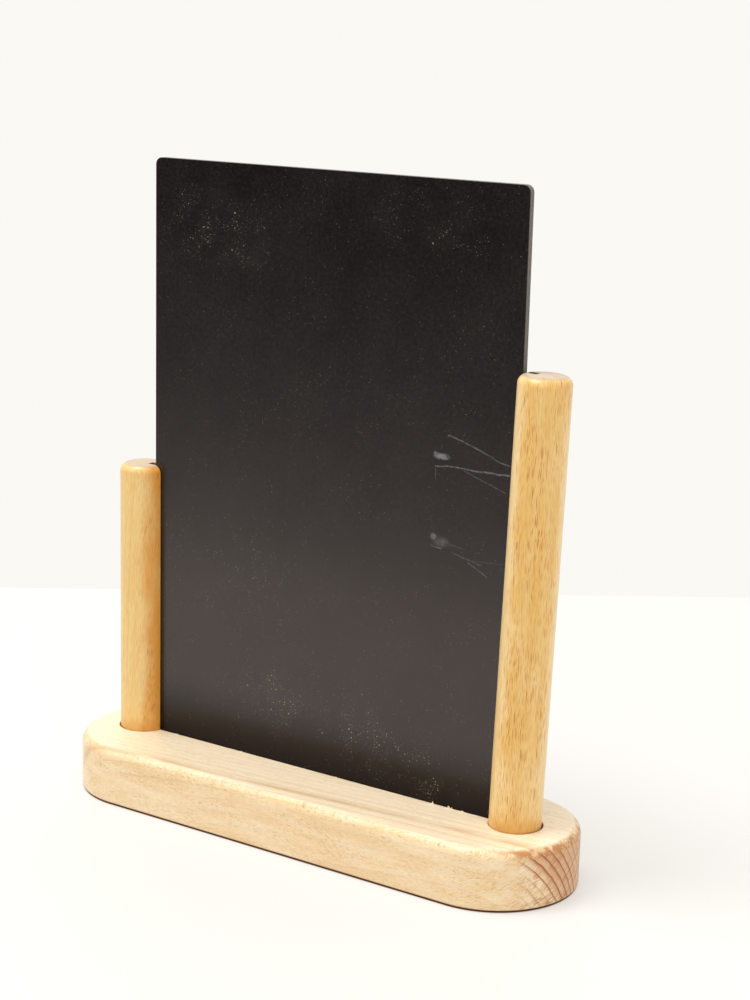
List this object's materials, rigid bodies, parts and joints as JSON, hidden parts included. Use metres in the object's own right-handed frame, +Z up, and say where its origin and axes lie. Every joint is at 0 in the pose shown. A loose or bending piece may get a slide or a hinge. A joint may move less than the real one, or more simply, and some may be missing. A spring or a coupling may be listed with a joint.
{
  "type": "tabletop menu chalkboard easel",
  "caption": "Tabletop menu chalkboard: an A4 black panel that drops into the slots of a short and a tall round beech post on an oval beech base.",
  "frame": {"origin": "centre of the base's footprint, at the table surface under the foot pads", "axes": "+X along the base towards the tall post, +Y towards the back of the board, +Z up"},
  "size_m": [0.281, 0.081, 0.3204],
  "materials": {
    "beech_base": "clear satin lacquer over steamed beech",
    "beech_posts": "clear satin lacquer over beech dowel",
    "board_laminate": "satin black writing laminate",
    "board_core": "dyed hardboard, sawn edge",
    "screw_steel": "zinc plated",
    "pad_rubber": "matt"
  },
  "bodies": {
    "stand": {"plinth": "beech_base", "short_post": "beech_posts", "tall_post": "beech_posts", "short_post_screw": "screw_steel", "tall_post_screw": "screw_steel", "foot_pad_front_left": "pad_rubber", "foot_pad_front_right": "pad_rubber", "foot_pad_rear_left": "pad_rubber", "foot_pad_rear_right": "pad_rubber"},
    "panel": {"board_core": "board_core", "board_front_laminate": "board_laminate", "board_rear_laminate": "board_laminate"}
  },
  "joints": [
    {"name": "panel_lift", "type": "slide", "parent": "stand", "child": "panel", "axis": [0, 0, 1], "range_m": [0, 0.22]}
  ]
}
